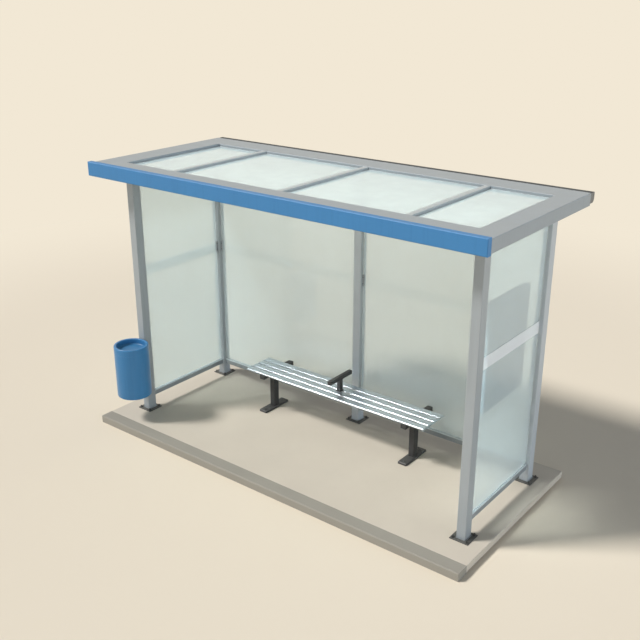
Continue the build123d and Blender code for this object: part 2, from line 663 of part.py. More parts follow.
with BuildPart() as bin_rim:
    with BuildSketch(Plane.XY.offset(RIM_BOTTOM)) as rim_outline:
        with Locations((BIN_X, BIN_Y)):
            Circle(BIN_RADIUS)
    extrude(amount=RIM_HEIGHT)
    with BuildSketch(Plane.XY.offset(RIM_BOTTOM + RIM_LIP_THICK)) as rim_bore:
        with Locations((BIN_X, BIN_Y)):
            Circle(RIM_BORE)
    extrude(amount=RIM_HEIGHT - RIM_LIP_THICK, mode=Mode.SUBTRACT)
    with BuildSketch(Plane.XY.offset(RIM_BOTTOM)) as lip_bore:
        with Locations((BIN_X, BIN_Y)):
            Circle(RIM_BORE - RIM_LIP)
    extrude(amount=RIM_LIP_THICK, mode=Mode.SUBTRACT)
    fillet(bin_rim.faces().sort_by(Axis.Z)[-1].edges(), RIM_EDGE)
save(bin_rim.part, "bin_rim")

with BuildPart() as bin_lid:
    with BuildSketch(Plane.XY.offset(RIM_BOTTOM + RIM_LIP_THICK)) as lid_outline:
        with Locations((BIN_X, BIN_Y)):
            Circle(RIM_BORE - LID_GAP)
    extrude(amount=LID_THICK)
save(bin_lid.part, "bin_lid")

# Two brackets hold the shell off the post's front face, hollowed to its curve.
with BuildPart() as bin_brackets:
    for bracket_z in (BIN_BOTTOM + BRACKET_INSET, RIM_BOTTOM - BRACKET_INSET - BRACKET_HEIGHT):
        block(
            LEFT_X - BRACKET_WIDTH / 2,
            LEFT_X + BRACKET_WIDTH / 2,
            FRONT - BRACKET_DEEP,
            FRONT,
            bracket_z,
            bracket_z + BRACKET_HEIGHT,
        )
    with BuildSketch(Plane.XY.offset(BIN_BOTTOM)) as shell_clearance:
        with Locations((BIN_X, BIN_Y)):
            Circle(BIN_RADIUS + CURVE_GAP)
    extrude(amount=BIN_HEIGHT, mode=Mode.SUBTRACT)
save(bin_brackets.part, "bin_brackets")
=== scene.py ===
"""The looks of a glazed bus shelter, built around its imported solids. Metres, +Z up."""
import math

import bmesh
import bpy
from mathutils import Matrix, Vector


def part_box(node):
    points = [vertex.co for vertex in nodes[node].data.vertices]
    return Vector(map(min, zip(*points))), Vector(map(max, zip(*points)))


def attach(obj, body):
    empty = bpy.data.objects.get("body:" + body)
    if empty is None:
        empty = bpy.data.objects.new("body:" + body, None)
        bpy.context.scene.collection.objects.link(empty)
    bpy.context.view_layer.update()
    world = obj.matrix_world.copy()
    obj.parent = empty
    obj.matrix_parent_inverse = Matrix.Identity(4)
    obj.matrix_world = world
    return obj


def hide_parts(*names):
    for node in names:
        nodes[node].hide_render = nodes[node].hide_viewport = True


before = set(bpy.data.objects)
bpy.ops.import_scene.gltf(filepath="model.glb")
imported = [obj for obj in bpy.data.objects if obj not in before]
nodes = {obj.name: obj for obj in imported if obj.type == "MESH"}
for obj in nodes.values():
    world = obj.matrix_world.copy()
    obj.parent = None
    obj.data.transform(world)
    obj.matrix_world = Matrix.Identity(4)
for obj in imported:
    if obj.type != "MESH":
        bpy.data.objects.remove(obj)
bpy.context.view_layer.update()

# ================================ Camera ====================================================
# A three-quarter view from in front of the notice case's end, a little above the roof.
camera_data = bpy.data.cameras.new("camera")
camera_data.lens = 49.74
camera_data.sensor_width = 36
camera = bpy.data.objects.new("camera", camera_data)
camera.location = (4.395, -5.663, 4.070)
camera.rotation_euler = (math.radians(68.563), 0, math.radians(38.086))
bpy.context.scene.collection.objects.link(camera)
bpy.context.scene.camera = camera
bpy.context.scene.view_settings.view_transform = "Standard"

# ================================ Daylight ==================================================
# One broad sun stands in front of the shelter, towards the bin's end. A sky that is dim overhead
# and brighter low down fills the shade, with a cool bright side beyond the notice case's end.
SUN_TRAVEL = math.radians(41)  # the way the light runs over the ground, from +X towards +Y
SUN_HEIGHT = math.radians(49)
BACKDROP = (0.887, 0.806, 0.665, 1)

sun_data = bpy.data.lights.new("sun", "SUN")
sun_data.energy = 3.3
sun_data.angle = math.radians(11)
sun_data.color = (1.0, 0.985, 0.96)
sun = bpy.data.objects.new("sun", sun_data)
sun_path = Vector((math.cos(SUN_TRAVEL), math.sin(SUN_TRAVEL), -math.tan(SUN_HEIGHT)))
sun.rotation_euler = sun_path.to_track_quat("-Z", "Y").to_euler()
bpy.context.scene.collection.objects.link(sun)


def feed(tree, socket, value):
    """Give a socket a plain value, or link it to another node's output."""
    if isinstance(value, bpy.types.NodeSocket):
        tree.links.new(value, socket)
    else:
        socket.default_value = value


def put(tree, kind, settings=None, values=None):
    """Add a shader node, with its own settings and the values or links of its named inputs."""
    node = tree.nodes.new("ShaderNode" + kind)
    for name, value in (settings or {}).items():
        setattr(node, name, value)
    for name, value in (values or {}).items():
        feed(tree, node.inputs[name], value)
    return node


def sum_of(tree, operation, *terms):
    """Work out one number from others with a Math node."""
    node = put(tree, "Math", {"operation": operation})
    for socket, term in zip(node.inputs, terms):
        feed(tree, socket, term)
    return node.outputs[0]


def blend(tree, kind, amount, under, over):
    """Lay one colour over another in the named way."""
    node = put(tree, "Mix", {"data_type": "RGBA", "blend_type": kind})
    feed(tree, node.inputs[0], amount)
    feed(tree, node.inputs[6], under)
    feed(tree, node.inputs[7], over)
    return node.outputs[2]


def spread(tree, value, low, high, to_low=0.0, to_high=1.0):
    """Stretch a number softly from one range to another."""
    node = put(tree, "MapRange", {"interpolation_type": "SMOOTHSTEP"})
    ends = {"From Min": low, "From Max": high, "To Min": to_low, "To Max": to_high}
    for name, setting in ends.items():
        feed(tree, node.inputs[name], setting)
    feed(tree, node.inputs["Value"], value)
    return node.outputs[0]


def ramp(tree, source, stops):
    """Run a number through (place, colour) stops."""
    node = put(tree, "ValToRGB", values={"Fac": source})
    marks = node.color_ramp.elements
    while len(marks) < len(stops):
        marks.new(0.5)
    for mark, (place, colour) in zip(marks, stops):
        mark.position = place
        mark.color = colour
    return node.outputs["Color"]


world = bpy.data.worlds.new("sky")
bpy.context.scene.world = world
world.use_nodes = True
sky = world.node_tree
sky.nodes.clear()
sky_way = put(sky, "SeparateXYZ", values={"Vector": put(sky, "TexCoord").outputs["Generated"]})
sky_up = ramp(
    sky,
    sky_way.outputs["Z"],
    [(0.0, (0.56, 0.60, 0.65, 1)), (0.35, (0.36, 0.38, 0.42, 1)), (1.0, (0.08, 0.085, 0.10, 1))],
)
sky_side = spread(sky, sky_way.outputs["X"], 0.15, 0.95)
sky_low = spread(sky, sky_way.outputs["Z"], 0.0, 0.5, 1.0, 0.0)
sky_cool = sum_of(sky, "MULTIPLY", sky_side, sky_low)
sky_colour = blend(sky, "ADD", sky_cool, sky_up, (2.30, 2.66, 3.02, 1))
sky_light = put(sky, "Background", values={"Color": sky_colour})
sky_seen = put(sky, "Background", values={"Color": BACKDROP})
sky_ray = put(sky, "LightPath")
sky_bent = sum_of(
    sky, "MAXIMUM", sky_ray.outputs["Is Glossy Ray"], sky_ray.outputs["Is Transmission Ray"]
)
sky_shows = sum_of(sky, "MAXIMUM", sky_ray.outputs["Is Camera Ray"], sky_bent)
sky_mix = put(sky, "MixShader", values={"Fac": sky_shows})
sky.links.new(sky_light.outputs[0], sky_mix.inputs[1])
sky.links.new(sky_seen.outputs[0], sky_mix.inputs[2])
put(sky, "OutputWorld", values={"Surface": sky_mix.outputs[0]})

# ================================ Floor =====================================================
# A plain warm floor. Near the shelter it takes light and shadow, and far off it runs out into
# the backdrop's own colour.
FLOOR_HALF = 300.0
floor_mesh = bpy.data.meshes.new("floor")
floor_shape = bmesh.new()
bmesh.ops.create_grid(floor_shape, x_segments=1, y_segments=1, size=FLOOR_HALF)
floor_shape.to_mesh(floor_mesh)
floor_shape.free()
floor = bpy.data.objects.new("floor", floor_mesh)
bpy.context.scene.collection.objects.link(floor)


def object_place(tree):
    """Where a point lies on its own object, in metres."""
    return put(tree, "TexCoord").outputs["Object"]


def start_material(name, **plain):
    """Start a material and set the plain sockets of its one Principled shader."""
    material = bpy.data.materials.new(name)
    material.use_nodes = True
    tree = material.node_tree
    shader = tree.nodes["Principled BSDF"]
    for label, value in plain.items():
        shader.inputs[label.replace("_", " ")].default_value = value
    return material, tree, shader


floor_material, floor_tree, floor_shader = start_material(
    "floor", Base_Color=(0.735, 0.655, 0.532, 1), Roughness=0.9, Specular_IOR_Level=0.2
)
floor_place = object_place(floor_tree)
floor_reach = put(floor_tree, "VectorMath", {"operation": "LENGTH"}, {0: floor_place})
floor_glow = put(floor_tree, "Emission", values={"Color": BACKDROP})
floor_far = spread(floor_tree, floor_reach.outputs["Value"], 4.5, 9.0)
floor_mix = put(floor_tree, "MixShader", values={"Fac": floor_far})
floor_tree.links.new(floor_shader.outputs[0], floor_mix.inputs[1])
floor_tree.links.new(floor_glow.outputs[0], floor_mix.inputs[2])
floor_tree.links.new(floor_mix.outputs[0], floor_tree.nodes["Material Output"].inputs["Surface"])
floor_mesh.materials.append(floor_material)

# ================================ Slab ======================================================
# A pale concrete slab cast in one piece and finished with a steel trowel, so that it is smooth,
# faintly cloudy and a little worn and pitted along its edges.


def start_group(name, inputs, outputs):
    """Start a node group with named inputs (name, kind, value) and outputs (name, kind)."""
    tree = bpy.data.node_groups.new(name, "ShaderNodeTree")
    for label, kind, value in inputs:
        made = tree.interface.new_socket(label, in_out="INPUT", socket_type="NodeSocket" + kind)
        made.default_value = value
    for label, kind in outputs:
        tree.interface.new_socket(label, in_out="OUTPUT", socket_type="NodeSocket" + kind)
    return tree, tree.nodes.new("NodeGroupInput").outputs, tree.nodes.new("NodeGroupOutput").inputs


def use_group(tree, group, **values):
    """Place a node group with its own values and return its outputs."""
    node = put(tree, "Group", {"node_tree": group})
    for label, value in values.items():
        feed(tree, node.inputs[label.replace("_", " ")], value)
    return node.outputs


def noise(tree, place, size, detail=3.0):
    """Noise whose patches are about that many metres across."""
    if isinstance(size, bpy.types.NodeSocket):
        scale = sum_of(tree, "DIVIDE", 1.0, size)
    else:
        scale = 1.0 / size
    values = {"Vector": place, "Scale": scale, "Detail": detail}
    return put(tree, "TexNoise", values=values).outputs["Fac"]


def facing_up(tree):
    """How far a face looks up: 1 on level tops, 0 on upright faces."""
    normal = put(tree, "NewGeometry").outputs["Normal"]
    return put(tree, "SeparateXYZ", values={"Vector": normal}).outputs["Z"]


GREY = (0.5, 0.5, 0.5, 1)

# Broad clouds and fine grain in a colour: each depth is the share by which it lightens or darkens.
cloud_group, cloud_in, cloud_out = start_group(
    "clouds_and_grain",
    [
        ("Colour", "Color", GREY),
        ("Cloud Size", "Float", 0.4),
        ("Cloud Depth", "Float", 0.03),
        ("Grain Size", "Float", 0.004),
        ("Grain Depth", "Float", 0.03),
    ],
    [("Colour", "Color"), ("Grain", "Float"), ("Cloud", "Float")],
)
cloud_place = object_place(cloud_group)
cloud_fac = noise(cloud_group, cloud_place, cloud_in["Cloud Size"])
grain_fac = noise(cloud_group, cloud_place, cloud_in["Grain Size"], 2.0)
cloud_wave = sum_of(cloud_group, "MULTIPLY_ADD", cloud_fac, 6.0, -3.0)
cloud_swing = sum_of(cloud_group, "MULTIPLY", cloud_wave, cloud_in["Cloud Depth"])
grain_wave = sum_of(cloud_group, "MULTIPLY_ADD", grain_fac, 4.0, -2.0)
grain_swing = sum_of(cloud_group, "MULTIPLY", grain_wave, cloud_in["Grain Depth"])
both_swings = sum_of(cloud_group, "ADD", cloud_swing, grain_swing)
cloud_shade = sum_of(cloud_group, "ADD", both_swings, 1.0)
feed(
    cloud_group,
    cloud_out["Colour"],
    blend(cloud_group, "MULTIPLY", 1.0, cloud_in["Colour"], cloud_shade),
)
feed(cloud_group, cloud_out["Grain"], grain_fac)
feed(cloud_group, cloud_out["Cloud"], cloud_fac)

# Corners rounded over by a small radius, with the paint or stone there worn to another colour.
edge_group, edge_in, edge_out = start_group(
    "worn_edges",
    [
        ("Colour", "Color", GREY),
        ("Edge Colour", "Color", GREY),
        ("Amount", "Float", 0.3),
        ("Radius", "Float", 0.002),
    ],
    [("Colour", "Color"), ("Normal", "Vector")],
)
edge_round = put(
    edge_group, "Bevel", {"samples": 6}, {"Radius": edge_in["Radius"]}
).outputs["Normal"]
edge_true = put(edge_group, "NewGeometry").outputs["True Normal"]
edge_dot = put(
    edge_group, "VectorMath", {"operation": "DOT_PRODUCT"}, {0: edge_round, 1: edge_true}
)
edge_bare = spread(edge_group, edge_dot.outputs["Value"], 0.995, 0.85)
edge_break = noise(edge_group, object_place(edge_group), 0.035, 4.0)
edge_patch = sum_of(
    edge_group, "MULTIPLY", spread(edge_group, edge_break, 0.35, 0.6), edge_in["Amount"]
)
edge_mask = sum_of(edge_group, "MULTIPLY", edge_bare, edge_patch)
feed(
    edge_group,
    edge_out["Colour"],
    blend(edge_group, "MIX", edge_mask, edge_in["Colour"], edge_in["Edge Colour"]),
)
feed(edge_group, edge_out["Normal"], edge_round)

# Fine dust that settles in uneven patches on what faces up.
dust_group, dust_in, dust_out = start_group(
    "settled_dust",
    [
        ("Colour", "Color", GREY),
        ("Dust Colour", "Color", (0.50, 0.46, 0.38, 1)),
        ("Amount", "Float", 0.1),
    ],
    [("Colour", "Color"), ("Dust", "Float")],
)
dust_up = spread(dust_group, facing_up(dust_group), 0.6, 1.0)
dust_noise = noise(dust_group, object_place(dust_group), 0.12, 5.0)
dust_patch = spread(dust_group, dust_noise, 0.3, 0.7)
dust_share = sum_of(dust_group, "MULTIPLY", dust_up, dust_patch)
dust_mask = sum_of(dust_group, "MULTIPLY", dust_share, dust_in["Amount"])
feed(
    dust_group,
    dust_out["Colour"],
    blend(dust_group, "MIX", dust_mask, dust_in["Colour"], dust_in["Dust Colour"]),
)
feed(dust_group, dust_out["Dust"], dust_mask)


def relief(tree, strength, distance, height, normal=None):
    """Raise and dent a surface by a height, on top of a normal if one is given."""
    values = {"Strength": strength, "Distance": distance, "Height": height}
    if normal is not None:
        values["Normal"] = normal
    return put(tree, "Bump", values=values).outputs["Normal"]


def concrete(name, colour, edge_colour, cloud_depth, grain_depth, pit_depth):
    """Cast concrete: cloudy, fine-grained, and pitted, with its arrises worn pale."""
    material, tree, shader = start_material(name, Specular_IOR_Level=0.25)
    tone = use_group(
        tree,
        cloud_group,
        Colour=colour,
        Cloud_Size=0.45,
        Cloud_Depth=cloud_depth,
        Grain_Size=0.005,
        Grain_Depth=grain_depth,
    )
    place = object_place(tree)
    blotch = noise(tree, place, 0.09, 4.0)
    stain = spread(tree, blotch, 0.45, 0.75, 0.0, cloud_depth * 2)
    stained = blend(tree, "MULTIPLY", stain, tone["Colour"], (0.80, 0.79, 0.77, 1))
    edged = use_group(
        tree, edge_group, Colour=stained, Edge_Colour=edge_colour, Amount=0.5, Radius=0.003
    )
    pits = put(tree, "TexVoronoi", values={"Vector": place, "Scale": 70.0}).outputs["Distance"]
    holes = spread(tree, pits, 0.05, 0.16)
    rough = sum_of(tree, "MULTIPLY_ADD", tone["Grain"], 0.35, sum_of(tree, "MULTIPLY", holes, 0.5))
    dents = relief(tree, pit_depth, 0.001, rough, edged["Normal"])
    hollow = spread(tree, pits, 0.04, 0.10, 0.25, 0.0)
    pitted = blend(tree, "MULTIPLY", hollow, edged["Colour"], (0.62, 0.60, 0.57, 1))
    feed(tree, shader.inputs["Base Color"], pitted)
    feed(tree, shader.inputs["Roughness"], spread(tree, tone["Cloud"], 0.3, 0.7, 0.74, 0.86))
    feed(tree, shader.inputs["Normal"], dents)
    return material


def dress(material, *names):
    """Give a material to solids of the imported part."""
    for name in names:
        nodes[name].data.materials.clear()
        nodes[name].data.materials.append(material)


slab_concrete = concrete(
    "slab_concrete", (0.555, 0.500, 0.420, 1), (0.62, 0.57, 0.49, 1), 0.022, 0.02, 0.25
)
dress(slab_concrete, "base_slab")

# ================================ Kerb ======================================================
# A long precast kerb in a darker concrete, laid against the slab's open side on the ground. Its
# face came out of a steel mould, so it is even, with small air holes.
kerb_concrete = concrete(
    "kerb_concrete", (0.300, 0.282, 0.242, 1), (0.38, 0.36, 0.31, 1), 0.03, 0.035, 0.35
)
dress(kerb_concrete, "kerb")

# ================================ Base plates ===============================================
# Square steel plates under the posts, cut from 8 mm plate and coated charcoal. Four anchor bolts
# hold each one down, with a washer and a nut on each.

# Faint runs that rain has left down upright faces.
streak_group, streak_in, streak_out = start_group(
    "rain_streaks",
    [
        ("Colour", "Color", GREY),
        ("Streak Colour", "Color", GREY),
        ("Spacing", "Float", 0.03),
        ("Amount", "Float", 0.1),
    ],
    [("Colour", "Color")],
)
streak_place = put(
    streak_group,
    "Mapping",
    values={"Vector": object_place(streak_group), "Scale": (1.0, 1.0, 0.035)},
).outputs["Vector"]
streak_runs = noise(streak_group, streak_place, streak_in["Spacing"], 3.0)
streak_slope = sum_of(streak_group, "ABSOLUTE", facing_up(streak_group))
streak_upright = spread(streak_group, streak_slope, 0.6, 0.2)
streak_wet = spread(streak_group, streak_runs, 0.45, 0.75)
streak_share = sum_of(streak_group, "MULTIPLY", streak_upright, streak_wet)
streak_mask = sum_of(streak_group, "MULTIPLY", streak_share, streak_in["Amount"])
feed(
    streak_group,
    streak_out["Colour"],
    blend(streak_group, "MIX", streak_mask, streak_in["Colour"], streak_in["Streak Colour"]),
)


def tint(colour, share):
    """The same colour made lighter or darker."""
    return tuple(min(1.0, part * share) for part in colour[:3]) + (1,)


def paint(name, colour, gloss, metallic=0.0, dust=0.10, edge=0.35, coat=0.0, shine=0.3):
    """Powder-coated metal: faint orange peel, rubbed corners, light dust and rain marks."""
    material, tree, shader = start_material(
        name, Metallic=metallic, Coat_Weight=coat, Coat_Roughness=0.18, Specular_IOR_Level=shine
    )
    tone = use_group(
        tree,
        cloud_group,
        Colour=colour,
        Cloud_Size=0.3,
        Cloud_Depth=0.018,
        Grain_Size=0.0016,
        Grain_Depth=0.02,
    )
    runs = use_group(
        tree,
        streak_group,
        Colour=tone["Colour"],
        Streak_Colour=tint(colour, 0.86),
        Spacing=0.022,
        Amount=0.35,
    )
    edged = use_group(
        tree,
        edge_group,
        Colour=runs["Colour"],
        Edge_Colour=tint(colour, 1.25),
        Amount=edge,
        Radius=0.0016,
    )
    dusty = use_group(tree, dust_group, Colour=edged["Colour"], Amount=dust)
    peel = relief(tree, 0.06, 0.0005, tone["Grain"], edged["Normal"])
    patchy = spread(tree, tone["Cloud"], 0.3, 0.7, gloss - 0.03, gloss + 0.04)
    wear = sum_of(tree, "ADD", patchy, dusty["Dust"])
    feed(tree, shader.inputs["Base Color"], dusty["Colour"])
    feed(tree, shader.inputs["Roughness"], wear)
    feed(tree, shader.inputs["Normal"], peel)
    return material


plate_paint = paint("plate_paint", (0.076, 0.078, 0.073, 1), 0.42, dust=0.10)
dress(plate_paint, "base_plates")

NUT_FLATS = 0.019  # M12
NUT_HEIGHT = 0.010
BOLT_RADIUS = 0.006
BOLT_ABOVE_NUT = 0.006
WASHER_RADIUS = 0.0115
WASHER_THICK = 0.0022
ANCHOR_OUT = Vector((0.060, 0.061, 0))  # from the post's centre to its bolts
UP = Vector((0, 0, 1))
POSTS = ["front_left", "front_right", "rear_left", "rear_middle", "rear_right"]


def barrel(shape, place, way, radius, height, segments, bevel, bevel_segments):
    """Add a short rod that stands on a place and points a way, with its far edge rounded."""
    turn = UP.rotation_difference(way).to_matrix().to_4x4()
    made = bmesh.ops.create_cone(
        shape,
        cap_ends=True,
        segments=segments,
        radius1=radius,
        radius2=radius,
        depth=height,
        matrix=Matrix.Translation(place + way * (height / 2)) @ turn,
    )["verts"]
    ends = {face for vert in made for face in vert.link_faces if face.normal.dot(way) > 0.9}
    bmesh.ops.bevel(
        shape,
        geom=[edge for face in ends for edge in face.edges],
        offset=bevel,
        segments=bevel_segments,
        profile=0.5,
        affect="EDGES",
        material=-1,
    )
    return place + way * height


def flat_middle(low, high, height):
    """The middle of a box seen from above, at a height."""
    return Vector(((low.x + high.x) / 2, (low.y + high.y) / 2, height))


def hex_nut(shape, place, way, flats, height):
    """Add a hexagon nut or bolt head, its corners turned down."""
    return barrel(shape, place, way, flats / 2 / math.cos(math.pi / 6), height, 6, flats * 0.07, 1)


def merge(shape, part):
    """Add a finished part to a larger shape."""
    mesh = bpy.data.meshes.new("part")
    part.to_mesh(mesh)
    part.free()
    shape.from_mesh(mesh)
    bpy.data.meshes.remove(mesh)


def add_piece(shape, name, material, sharp=35):
    """Store a finished shape as a piece that rides on the shelter and takes the material given."""
    for face in shape.faces:
        face.smooth = True
    for edge in shape.edges:
        edge.smooth = len(edge.link_faces) == 2 and edge.calc_face_angle(0) < math.radians(sharp)
    mesh = bpy.data.meshes.new(name)
    shape.to_mesh(mesh)
    shape.free()
    piece = bpy.data.objects.new(name, mesh)
    bpy.context.scene.collection.objects.link(piece)
    mesh.materials.append(material)
    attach(piece, "root")
    return piece


zinc = paint("darkened_zinc", (0.085, 0.088, 0.088, 1), 0.34, metallic=0.6, dust=0.12)
plate_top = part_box("base_plates")[1].z
anchors = bmesh.new()
for post in POSTS:
    low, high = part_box("post_" + post)
    middle = flat_middle(low, high, plate_top)
    for side_x, side_y in ((-1, -1), (-1, 1), (1, -1), (1, 1)):
        seat = middle + Vector((side_x * ANCHOR_OUT.x, side_y * ANCHOR_OUT.y, 0))
        seat = barrel(anchors, seat, UP, WASHER_RADIUS, WASHER_THICK, 20, 0.0006, 1)
        seat = hex_nut(anchors, seat, UP, NUT_FLATS, NUT_HEIGHT)
        barrel(anchors, seat, UP, BOLT_RADIUS, BOLT_ABOVE_NUT, 16, 0.0012, 1)
add_piece(anchors, "anchor_bolts", zinc)

# ================================ Posts =====================================================
# Square steel tube with rounded corners, powder-coated a satin cool grey. The two rear posts in the
# shade take a paler copy of that grey, a painted fill light. A small fillet weld runs round each
# foot and is coated with it.
POST_CORNER = 0.006
WELD_OUT = 0.006
WELD_UP = 0.006

post_grey = paint("post_grey", (0.345, 0.375, 0.390, 1), 0.36, metallic=0.1, dust=0.05)
dress(post_grey, "post_front_left", "post_front_right", "post_rear_left")
# Painted fill light: the rear middle and rear right posts get a paler grey than the others to stand
# in for light missing in the shade.
painted_fill_grey = paint("painted_fill_post_grey", (0.460, 0.500, 0.525, 1), 0.36, metallic=0.1, dust=0.05)
dress(painted_fill_grey, "post_rear_middle", "post_rear_right")


def pull_inward(shape, face, width, rise):
    """Inset a face and lift what is left of it."""
    bmesh.ops.inset_region(shape, faces=[face], thickness=width, use_even_offset=True)
    bmesh.ops.translate(shape, verts=list(face.verts), vec=(0, 0, rise))


welds = bmesh.new()
for post in POSTS:
    low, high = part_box("post_" + post)
    bead = bmesh.new()
    bmesh.ops.create_grid(bead, x_segments=1, y_segments=1, size=1)
    half = (high - low) / 2
    bmesh.ops.scale(bead, verts=bead.verts, vec=(half.x + WELD_OUT, half.y + WELD_OUT, 1))
    bmesh.ops.bevel(
        bead,
        geom=list(bead.verts),
        offset=POST_CORNER + WELD_OUT,
        segments=5,
        profile=0.5,
        affect="VERTICES",
        material=-1,
    )
    crown = bead.faces[:][0]
    pull_inward(bead, crown, WELD_OUT * 0.35, WELD_UP * 0.62)
    pull_inward(bead, crown, WELD_OUT * 0.60, WELD_UP * 0.38)
    wall = list(crown.edges)
    bmesh.ops.delete(bead, geom=[crown], context="FACES_ONLY")
    made = bmesh.ops.extrude_edge_only(bead, edges=wall)["geom"]
    foot = [part for part in made if isinstance(part, bmesh.types.BMVert)]
    bmesh.ops.translate(bead, verts=foot, vec=(0, 0, -WELD_UP))
    open_rims = [edge for edge in bead.edges if len(edge.link_faces) == 1]
    bmesh.ops.bridge_loops(bead, edges=open_rims)
    bmesh.ops.recalc_face_normals(bead, faces=bead.faces)
    bmesh.ops.translate(bead, verts=bead.verts, vec=flat_middle(low, high, plate_top))
    merge(welds, bead)
add_piece(welds, "foot_welds", post_grey, 50)

# ================================ Roof frame and glazing bars ===============================
# Box members of folded aluminium, coated a satin light grey, with the glazing bars of the same
# let in between them a little lower.
frame_grey = paint("frame_grey", (0.305, 0.338, 0.358, 1), 0.40, dust=0.10)
dress(frame_grey, "roof_left_member", "roof_right_member", "roof_front_member", "roof_rear_member")
bar_grey = paint("bar_grey", (0.420, 0.455, 0.460, 1), 0.38, dust=0.10)
dress(bar_grey, "glazing_bars")

# ================================ Roof glass ================================================
# Four panes of laminated glass with a milky layer inside, laid on the frame's ledges. A soft grey
# gasket is pressed in round each pane to keep the rain out.


def glass(name, colour, shade, weight, haze_size, haze_depth, gloss):
    """Tinted glass with a milky share. Light reaches what is behind it through the shade colour."""
    material, tree, shader = start_material(name, IOR=1.45, Transmission_Weight=weight)
    tone = use_group(
        tree,
        cloud_group,
        Colour=colour,
        Cloud_Size=haze_size,
        Cloud_Depth=haze_depth,
        Grain_Size=0.02,
        Grain_Depth=0.004,
    )
    runs = use_group(
        tree,
        streak_group,
        Colour=tone["Colour"],
        Streak_Colour=tint(colour, 0.95),
        Spacing=0.09,
        Amount=0.12,
    )
    dusty = use_group(
        tree, dust_group, Colour=runs["Colour"], Dust_Colour=tint(colour, 0.90), Amount=0.35
    )
    feed(tree, shader.inputs["Base Color"], dusty["Colour"])
    feed(
        tree,
        shader.inputs["Roughness"],
        spread(tree, tone["Cloud"], 0.3, 0.7, gloss, gloss + 0.004),
    )
    clear = put(tree, "BsdfTransparent", values={"Color": shade})
    path = put(tree, "LightPath").outputs["Is Shadow Ray"]
    mix = put(tree, "MixShader", values={"Fac": path})
    tree.links.new(shader.outputs[0], mix.inputs[1])
    tree.links.new(clear.outputs[0], mix.inputs[2])
    tree.links.new(mix.outputs[0], tree.nodes["Material Output"].inputs["Surface"])
    return material


PANES = ["roof_pane_" + place for place in ("left_end", "left_middle", "right_middle", "right_end")]
roof_glass = glass(
    "roof_glass", (0.865, 0.985, 1.0, 1), (0.19, 0.20, 0.21, 1), 0.48, 0.5, 0.010, 0.002
)
dress(roof_glass, *PANES)

GASKET_OVER = 0.002  # how far the gasket lies over the pane's edge
GASKET_OUT = 0.0035  # how far it fills the gap beside the pane
GASKET_THICK = 0.002
GASKET_ROUND = 0.0012
GASKET_LIFT = 0.0002  # how far it stays off the glass

rubber, rubber_tree, rubber_shader = start_material("gasket_rubber", Roughness=0.6)
rubber_tone = use_group(
    rubber_tree,
    cloud_group,
    Colour=(0.46, 0.50, 0.51, 1),
    Cloud_Size=0.15,
    Cloud_Depth=0.03,
    Grain_Size=0.002,
    Grain_Depth=0.05,
)
rubber_dust = use_group(rubber_tree, dust_group, Colour=rubber_tone["Colour"], Amount=0.15)
feed(rubber_tree, rubber_shader.inputs["Base Color"], rubber_dust["Colour"])
rubber_relief = relief(rubber_tree, 0.1, 0.0005, rubber_tone["Grain"])
feed(rubber_tree, rubber_shader.inputs["Normal"], rubber_relief)


def frame_ring(shape, low, high, width, thick, bevel):
    """Add a flat closed ring round a rectangle, as thick as said, its top edges rounded."""
    ring = bmesh.new()
    bmesh.ops.create_grid(ring, x_segments=1, y_segments=1, size=0.5)
    bmesh.ops.scale(ring, verts=ring.verts, vec=(high.x - low.x, high.y - low.y, 1))
    inner = ring.faces[:][0]
    bmesh.ops.inset_region(
        ring, faces=[inner], thickness=width, use_even_offset=True, use_boundary=True
    )
    bmesh.ops.delete(ring, geom=[inner], context="FACES_ONLY")
    raised = bmesh.ops.extrude_face_region(ring, geom=list(ring.faces), use_keep_orig=True)["geom"]
    top = [vert for vert in raised if isinstance(vert, bmesh.types.BMVert)]
    bmesh.ops.translate(ring, verts=top, vec=(0, 0, thick))
    bmesh.ops.recalc_face_normals(ring, faces=ring.faces)
    upper = [edge for edge in ring.edges if all(vert.co.z > thick / 2 for vert in edge.verts)]
    lip = [edge for edge in upper if edge.calc_face_angle(0) > 1.0]
    bmesh.ops.bevel(
        ring, geom=lip, offset=bevel, segments=2, profile=0.5, affect="EDGES", material=-1
    )
    bmesh.ops.translate(ring, verts=ring.verts, vec=flat_middle(low, high, high.z))
    merge(shape, ring)


gaskets = bmesh.new()
out = Vector((GASKET_OUT, GASKET_OUT, 0))
for pane in PANES:
    low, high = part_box(pane)
    high.z += GASKET_LIFT
    frame_ring(gaskets, low - out, high + out, GASKET_OUT + GASKET_OVER, GASKET_THICK, GASKET_ROUND)
add_piece(gaskets, "roof_gaskets", rubber)

# ================================ Fascia board ==============================================
# A folded aluminium channel along the front of the roof, closed at both ends and coated a clean
# satin blue. Its front corners are turned over at a small bevel.
fascia_blue = paint("fascia_blue", (0.052, 0.205, 0.430, 1), 0.46, dust=0.02, edge=0.2)
dress(fascia_blue, "fascia_board")

# ================================ Gutter ====================================================
# A roll-formed open gutter behind the roof, in a mid grey, with its end caps sealed on.
gutter_grey = paint("gutter_grey", (0.165, 0.168, 0.160, 1), 0.42, dust=0.15)
dress(gutter_grey, "gutter")

# ================================ Wall rails ================================================
# Rounded steel tubes between the posts, low down and under the roof. The wall glass stands on the
# low ones, with glazing beads along its foot and thin strips of the same along its head. The beads
# are pale as a painted highlight along the low rails' top edges.
BAYS = ["left", "right", "rear_left", "rear_right"]
STRIP_GAP = 0.0002  # how far beads and strips stay off the glass
STRIP_ROUND = 0.0025
BEAD_HIGH = 0.012
BEAD_WIDE = 0.0125
STRIP_HIGH = 0.006
STRIP_WIDE = 0.005

rail_grey = paint("rail_grey", (0.285, 0.318, 0.332, 1), 0.32, metallic=0.25, dust=0.12)
dress(rail_grey, "head_rails", *["bottom_rail_" + bay for bay in BAYS])
